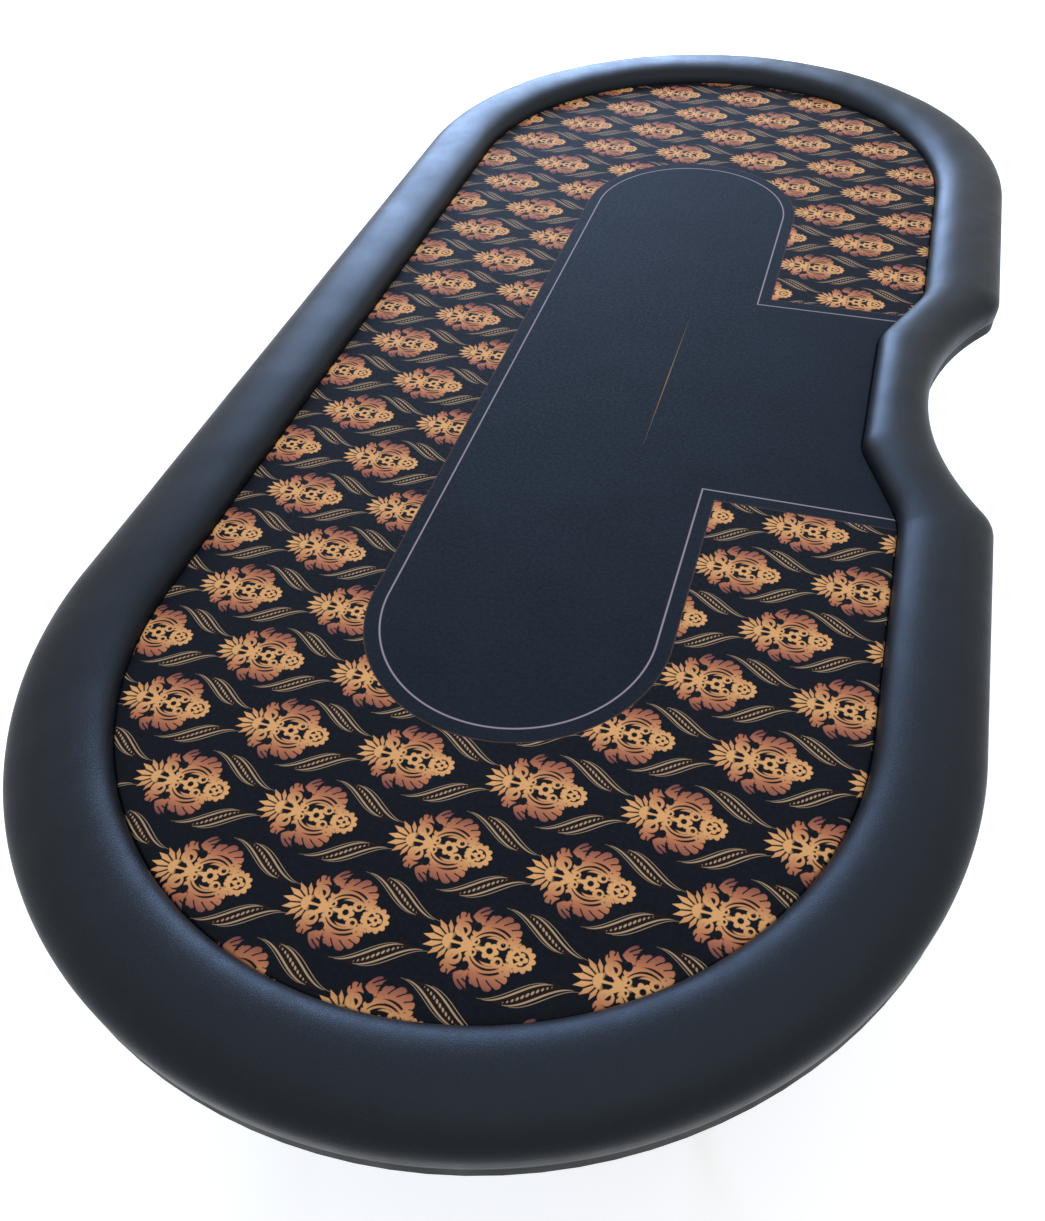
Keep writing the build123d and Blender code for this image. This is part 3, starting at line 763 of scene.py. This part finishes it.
def birch_plywood():
    """Bare birch plywood, sawn and sanded."""
    # Pale, with a long fine grain on the faces, about 3 mm wide, and dark glue lines every
    # 1.4 mm on the edges.
    material, tree, shader = new_material("birch_plywood_bare")
    point = place(tree)
    axes = add_node(tree, "SeparateXYZ", None, {0: point})
    plies = (Field(tree, axes.outputs[2]) * (math.pi / PLY)).math("SINE").math("ABSOLUTE")
    glue = add_node(tree, "MapRange", None, {0: plies, 1: 0.0, 2: 0.25, 3: 1.0, 4: 0.0})
    upright = add_node(tree, "NewGeometry").outputs["Normal"]
    facing = add_node(tree, "SeparateXYZ", None, {0: upright})
    edge = 1 - Field(tree, facing.outputs[2]).math("ABSOLUTE")
    stretched = add_node(
        tree, "VectorMath", {"operation": "MULTIPLY"}, {0: point, 1: (1 / 3, 1 / 160, 1 / 3)}
    )
    grain = add_node(tree, "TexNoise", None, {"Vector": stretched, "Scale": 1, "Detail": 6})
    tone = add_node(tree, "Mix", COLOURS, {0: grain, 6: linear("#B88D5C"), 7: linear("#E0BF92")})
    lined = add_node(
        tree, "Mix", COLOURS,
        {0: Field(tree, glue.outputs[0]) * edge * 0.7, 6: tone.outputs[2], 7: linear("#6E4A2A")},
    )
    dull = add_node(tree, "MapRange", None, {0: grain, 1: 0.3, 2: 0.7, 3: 0.55, 4: 0.72})
    raised = add_node(tree, "Bump", None, {"Strength": 0.3, "Distance": 0.0002, "Height": grain})
    join(tree, shader, lined.outputs[2], dull, raised)
    return material


def foam(name, dark, light, cell):
    """Foam with open or closed cells about cell mm across, cut with a hot wire."""
    # The cut cells make a dull, speckled face with no shine at all.
    material, tree, shader = new_material(name)
    point = place(tree)
    cells = add_node(tree, "TexVoronoi", None, {"Vector": point, "Scale": 1 / cell})
    clouds = add_node(tree, "TexNoise", None, {"Vector": point, "Scale": 1 / 45, "Detail": 3})
    share = Field(tree, cells.outputs[0]) * 0.6 + Field(tree, clouds.outputs[0]) * 0.4
    tone = add_node(tree, "Mix", COLOURS, {0: share, 6: linear(light), 7: linear(dark)})
    dull = add_node(tree, "MapRange", None, {0: clouds, 1: 0.3, 2: 0.7, 3: 0.88, 4: 0.97})
    raised = add_node(tree, "Bump", None, {"Strength": 0.6, "Distance": 0.0005, "Height": cells})
    join(tree, shader, tone.outputs[2], dull, raised)
    return material


def powder_coated_steel(steel):
    """Welded steel, powder coated and baked."""
    # The powder flows into a fine orange peel with a satin sheen, drawn at 1.6 mm, and it is
    # rubbed grey where edges meet carpet, hands and other tables.
    material, tree, shader = new_material("powder_coated_steel_black")
    point = place(tree)
    peel = add_node(tree, "TexNoise", None, {"Vector": point, "Scale": 1 / 1.6, "Detail": 2})
    scuffs = add_node(tree, "TexNoise", None, {"Vector": point, "Scale": 1 / 14, "Detail": 7})
    rounded_off = add_node(tree, "Bevel", {"samples": 4}, {"Radius": steel.edge_wear})
    flat = add_node(tree, "NewGeometry").outputs["Normal"]
    level = add_node(tree, "VectorMath", {"operation": "DOT_PRODUCT"}, {0: rounded_off, 1: flat})
    edge = 1 - Field(tree, level.outputs["Value"])
    rubbed = edge * 3 + Field(tree, scuffs.outputs[0]) * 0.8
    bare = add_node(tree, "MapRange", None, {0: rubbed, 1: 0.62, 2: 1.3, 3: 0.0, 4: 0.8})
    tone = add_node(tree, "Mix", COLOURS, {0: bare, 6: steel.powder_coat, 7: linear("#5A5C60")})
    satin = add_node(tree, "MapRange", None, {0: scuffs, 1: 0.3, 2: 0.7, 3: 0.34, 4: 0.52})
    raised = add_node(tree, "Bump", None, {"Strength": 0.35, "Distance": 0.0002, "Height": peel})
    join(tree, shader, tone.outputs[2], satin, raised)
    return material


def zinc_plated_steel(steel):
    """Cold-headed steel, bright zinc plated."""
    # A bright grey metal with a faint yellow and blue cast and soft spangle, 3 mm across.
    material, tree, shader = new_material("zinc_plated_steel_bright")
    point = place(tree)
    spangle = add_node(tree, "TexVoronoi", None, {"Vector": point, "Scale": 1 / 3})
    cast = add_node(tree, "TexNoise", None, {"Vector": point, "Scale": 1 / 8, "Detail": 4})
    tone = add_node(tree, "Mix", COLOURS, {0: cast, 6: linear("#B7BCC6"), 7: linear("#D2CDBB")})
    flecked = add_node(tree, "Mix", COLOURS, {0: spangle, 6: tone.outputs[2], 7: steel.zinc})
    polish = add_node(tree, "MapRange", None, {0: cast, 1: 0.3, 2: 0.7, 3: 0.24, 4: 0.42})
    raised = add_node(tree, "Bump", None, {"Strength": 0.2, "Distance": 0.0001, "Height": cast})
    join(tree, shader, flecked.outputs[2], polish, raised)
    shader.inputs["Metallic"].default_value = 1
    return material


def moulded(name, low, high, roughness, grain, depth):
    """Black rubber or plastic from a spark-eroded mould."""
    # The mould leaves a fine, even stipple, and the tone goes greyer in random patches.
    material, tree, shader = new_material(name)
    point = place(tree)
    stipple = add_node(tree, "TexNoise", None, {"Vector": point, "Scale": 1 / grain, "Detail": 2})
    dust = add_node(tree, "TexNoise", None, {"Vector": point, "Scale": 1 / 18, "Detail": 6})
    tone = add_node(tree, "Mix", COLOURS, {0: dust, 6: linear(low), 7: linear(high)})
    least, most = roughness
    dull = add_node(tree, "MapRange", None, {0: dust, 1: 0.3, 2: 0.7, 3: least, 4: most})
    raised = add_node(tree, "Bump", None, {"Strength": 0.5, "Distance": depth, "Height": stipple})
    join(tree, shader, tone.outputs[2], dull, raised)
    return material


def finish_nodes(names, material):
    """Gives CAD nodes a finish, in every slot that they have."""
    for name in names:
        slots = NODES[name].material_slots
        if not slots:
            raise RuntimeError(f"{name} has no material slot to finish")
        for one in slots:
            one.material = material


# ---------------------------------------------------------------- floor and light


def seen(tree):
    """1 for what the camera sees, in mirrors and through glass too, and 0 for the light cast."""
    path = add_node(tree, "LightPath")
    rays = Field(tree, path.outputs["Is Camera Ray"])
    for kind in ("Is Glossy Ray", "Is Transmission Ray"):
        rays = rays.math("MAXIMUM", Field(tree, path.outputs[kind]))
    return rays


def add_floor(stage, reach=40, glow=0.5):
    """A plain pale floor that stays white to the camera and keeps the table's shadow."""
    mesh = bpy.data.meshes.new("floor")
    corners = [(-reach, -reach, 0), (reach, -reach, 0), (reach, reach, 0), (-reach, reach, 0)]
    mesh.from_pydata(corners, [], [(0, 1, 2, 3)])
    material, tree, shader = new_material("plain_floor")
    tree.links.new((seen(tree) * glow).socket, shader.inputs["Emission Strength"])
    shader.inputs["Emission Color"].default_value = (1, 1, 1, 1)
    shader.inputs["Base Color"].default_value = (*stage.floor, 1)
    shader.inputs["Roughness"].default_value = 0.9
    shader.inputs["Specular IOR Level"].default_value = 0
    mesh.materials.append(material)
    floor = bpy.data.objects.new("floor", mesh)
    bpy.context.scene.collection.objects.link(floor)


def add_surroundings(scene, stage):
    """Even light from all around, white to the camera and in reflections."""
    world = bpy.data.worlds.new("surroundings")
    world.use_nodes = True
    tree = world.node_tree
    tree.nodes.clear()
    strength = seen(tree) * (1 - stage.surroundings) + stage.surroundings
    sky = add_node(tree, "Background", None, {"Color": (1, 1, 1), "Strength": strength})
    add_node(tree, "OutputWorld", None, {"Surface": sky})
    scene.world = world


def soft_light(name, location, target, width, height):
    """A soft area light that faces a point."""
    light = bpy.data.lights.new(name, "AREA")
    light.shape = "RECTANGLE"
    light.size = width
    light.size_y = height
    lamp = bpy.data.objects.new(name, light)
    lamp.location = location
    lamp.rotation_euler = (Vector(target) - Vector(location)).to_track_quat("-Z", "Y").to_euler()
    bpy.context.scene.collection.objects.link(lamp)
    return light


# ---------------------------------------------------------------- operators


class CARD_TABLE_OT_rail_cover(bpy.types.Operator):
    """Stretch the faux leather over the rail"""

    bl_idname = "card_table.rail_cover"
    bl_label = "Rail Cover"

    def execute(self, context):
        settings = context.scene.card_table
        rail, cloth = settings.rail, settings.cloth
        stations = rail_stations(rail, cloth)
        bottom, thick, under = RAIL_LOW.z, rail.cover_thickness, rail.turn_under
        tip = thick + under
        skin = padding_profile(rail, 0, bottom + 0.0008)
        lining = padding_profile(rail, thick, bottom + thick)
        profile = [(0, tip, bottom + thick, 0), (0, tip, bottom, 0), (0, 0.003, bottom, 0)]
        profile += skin
        profile += [(1, -0.003, bottom, 0), (1, -tip, bottom, 0), (1, -tip, bottom + thick, 0)]
        profile += lining[::-1]
        points, faces = swept_ring(stations, profile)
        points = wander(points, profile, rail.softness)
        piece = new_piece(
            "rail_cover_faux_leather", points.reshape(-1, 3), faces, TOP, faux_leather(rail),
            ["rail_cover"],
        )
        inside, outside = stations
        middle = (inside + outside) / 2
        usual_width = float(np.median(np.linalg.norm(outside - inside, axis=1)))
        around = np.linalg.norm(middle - np.roll(middle, 1, axis=0), axis=1).sum()
        return {"FINISHED"}


class CARD_TABLE_OT_rail_foam(bpy.types.Operator):
    """Lay the foam padding round the rail board"""

    bl_idname = "card_table.rail_foam"
    bl_label = "Rail Foam"

    def execute(self, context):
        settings = context.scene.card_table
        rail = settings.rail
        slack = 0.0003
        inset = rail.cover_thickness + slack
        bottom = RAIL_LOW.z + inset
        beside = rail.cover_thickness + rail.side_padding
        top = RAIL_BOARD_TOP + slack
        profile = [(0, beside, top, 0), (0, beside, bottom, 0)]
        profile += padding_profile(rail, inset, bottom)
        profile += [(1, -beside, bottom, 0), (1, -beside, top, 0)]
        points, faces = swept_ring(rail_stations(rail, settings.cloth), profile)
        points = wander(points, profile, rail.softness)
        piece = new_piece(
            "rail_foam_ring", points.reshape(-1, 3), faces, TOP,
            foam("upholstery_foam_grey", "#5C5C5E", "#8E8E90", 1.5), ["rail_foam"],
        )
        return {"FINISHED"}


class CARD_TABLE_OT_cloth(bpy.types.Operator):
    """Stretch the printed cloth over the playing board"""

    bl_idname = "card_table.cloth"
    bl_label = "Printed Cloth"

    def execute(self, context):
        settings = context.scene.card_table
        cloth = settings.cloth
        top, bottom, thick = CLOTH_HIGH.z, CLOTH_LOW.z, cloth.thickness
        radius, tip = cloth.edge_radius, cloth.thickness + cloth.turn_under
        bend = [math.pi / 2 * k / 5 for k in range(6)]
        edge = [(radius - radius * math.sin(a), top - radius + radius * math.cos(a)) for a in bend]
        lining = [
            (s * (1 - thick / radius) + thick, z - thick * (z - top + radius) / radius)
            for s, z in edge
        ]
        profile = [(EDGE_BAND, top)] + edge + [(0, bottom + 0.001), (0.001, bottom), (tip, bottom)]
        profile += [(tip, bottom + thick), (thick + 0.0005, bottom + thick)]
        profile += [(thick, bottom + thick + 0.0005)] + lining[::-1] + [(EDGE_BAND, top - thick)]
        outline = even(well_outline(settings.rail, cloth), STATIONS)
        edge_of_cloth = outline - outward(outline) * cloth.gap
        points, faces = filled_slab(edge_of_cloth, profile)
        piece = new_piece(
            "playing_cloth_printed", points, faces, TOP, printed_polyester(cloth),
            ["playing_cloth"],
        )
        return {"FINISHED"}


class CARD_TABLE_OT_pad(bpy.types.Operator):
    """Lay the thin foam pad under the cloth"""

    bl_idname = "card_table.pad"
    bl_label = "Foam under the Cloth"

    def execute(self, context):
        settings = context.scene.card_table
        cloth = settings.cloth
        low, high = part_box("playing_pad")
        outline = even(well_outline(settings.rail, cloth), STATIONS)
        inset = cloth.gap + cloth.thickness + 0.0003
        edge_of_pad = outline - outward(outline) * inset
        radius = 0.0025
        profile = [(EDGE_BAND, high.z), (radius, high.z)]
        profile += [(radius * 0.3, high.z - radius * 0.3), (0, high.z - radius)]
        profile += [(0, low.z), (EDGE_BAND, low.z)]
        points, faces = filled_slab(edge_of_pad, profile)
        piece = new_piece(
            "foam_under_cloth", points, faces, TOP,
            foam("closed_cell_foam_black", "#1C1C1E", "#333336", 0.9), ["playing_pad"],
        )
        return {"FINISHED"}


class CARD_TABLE_OT_boards(bpy.types.Operator):
    """Paint the deck and leave the covered boards bare"""

    bl_idname = "card_table.boards"
    bl_label = "Boards"

    def execute(self, context):
        finish_nodes(["deck_board"], painted_plywood())
        finish_nodes(["rail_board", "playing_board"], birch_plywood())
        return {"FINISHED"}


class CARD_TABLE_OT_leg_frames(bpy.types.Operator):
    """Powder coat the legs, crossbars and brackets"""

    bl_idname = "card_table.leg_frames"
    bl_label = "Leg Frames"

    def execute(self, context):
        coat = powder_coated_steel(context.scene.card_table.steel)
        parts = (
            "leg_brackets", "dealer_side_leg", "player_side_leg", "upper_crossbar",
            "lower_crossbar", "stay_brackets",
        )
        finish_nodes([f"{side}_{part}" for side in SIDES for part in parts], coat)
        return {"FINISHED"}


class CARD_TABLE_OT_fastenings(bpy.types.Operator):
    """Zinc plate the stays, bolts, nuts, washers, screws, pins and rivets"""

    bl_idname = "card_table.fastenings"
    bl_label = "Stays and Fastenings"

    def execute(self, context):
        zinc = zinc_plated_steel(context.scene.card_table.steel)
        parts = (
            "bracket_screws", "pivot_pins", "stay_bracket_screws", "stay_deck_pins",
            "stay_leg_pins", "stay_joint_rivets", "upper_stay_links", "lower_stay_links",
            "release_bar",
        )
        finish_nodes([f"{side}_{part}" for side in SIDES for part in parts], zinc)
        finish_nodes(["rail_bolts", "rail_washers", "rail_tee_nuts", "playing_board_screws"], zinc)
        return {"FINISHED"}


class CARD_TABLE_OT_feet(bpy.types.Operator):
    """Finish the rubber feet and the plastic plugs"""

    bl_idname = "card_table.feet"
    bl_label = "Feet and Plugs"

    def execute(self, context):
        rubber = moulded("moulded_rubber_black", "#161616", "#2B2A29", (0.62, 0.85), 1.2, 0.0003)
        plastic = moulded(
            "moulded_polyethylene_black", "#141415", "#232325", (0.42, 0.6), 0.8, 0.0001
        )
        finish_nodes([f"{side}_foot_caps" for side in SIDES], rubber)
        finish_nodes([f"{side}_leg_plugs" for side in SIDES], plastic)
        return {"FINISHED"}


class CARD_TABLE_OT_stage(bpy.types.Operator):
    """Set the plain floor, the soft light and the camera"""

    bl_idname = "card_table.stage"
    bl_label = "Stage"

    def execute(self, context):
        stage = context.scene.card_table.stage
        add_floor(stage)
        add_surroundings(context.scene, stage)
        window = soft_light("window_light", (-1.8, 4.8, 2.3), (0.1, 0.2, 0.75), 2.8, 1.9)
        window.energy = stage.window_power
        window.color = linear("#A6C4F2")
        ceiling = soft_light("ceiling_light", (0.6, -0.6, 4.2), (0, 0, 0.7), 3.2, 3.2)
        ceiling.energy = stage.ceiling_power
        lens = bpy.data.cameras.new("camera")
        lens.lens = stage.lens
        lens.sensor_width = 36
        camera = bpy.data.objects.new("camera", lens)
        camera.location = CAMERA_PLACE
        camera.rotation_euler = [math.radians(angle) for angle in CAMERA_TURN]
        context.scene.collection.objects.link(camera)
        context.scene.camera = camera
        context.scene.view_settings.view_transform = "Standard"
        return {"FINISHED"}


class CARD_TABLE_PT_pieces(bpy.types.Panel):
    """Lists the table's pieces and what can be changed"""

    bl_idname = "CARD_TABLE_PT_pieces"
    bl_label = "Card Table"
    bl_space_type = "VIEW_3D"
    bl_region_type = "UI"
    bl_category = "Card table"

    def draw(self, context):
        settings = context.scene.card_table
        for operator in OPERATORS:
            self.layout.operator(operator.bl_idname)
        for group in (settings.rail, settings.cloth, settings.steel, settings.stage):
            box = self.layout.box()
            for name in group.bl_rna.properties.keys():
                if name not in ("rna_type", "name"):
                    box.prop(group, name)


OPERATORS = (
    CARD_TABLE_OT_stage, CARD_TABLE_OT_rail_foam, CARD_TABLE_OT_rail_cover, CARD_TABLE_OT_pad,
    CARD_TABLE_OT_cloth, CARD_TABLE_OT_boards, CARD_TABLE_OT_leg_frames, CARD_TABLE_OT_fastenings,
    CARD_TABLE_OT_feet,
)
CLASSES = (
    RailSettings, ClothSettings, SteelSettings, StageSettings, TableSettings, *OPERATORS,
    CARD_TABLE_PT_pieces,
)


def register():
    for one in CLASSES:
        bpy.utils.register_class(one)
    bpy.types.Scene.card_table = PointerProperty(type=TableSettings)


def unregister():
    del bpy.types.Scene.card_table
    for one in reversed(CLASSES):
        bpy.utils.unregister_class(one)


def main():
    """Builds the whole table, piece by piece."""
    register()
    for operator in OPERATORS:
        family, name = operator.bl_idname.split(".")
        getattr(getattr(bpy.ops, family), name)()


if __name__ == "__main__":
    main()
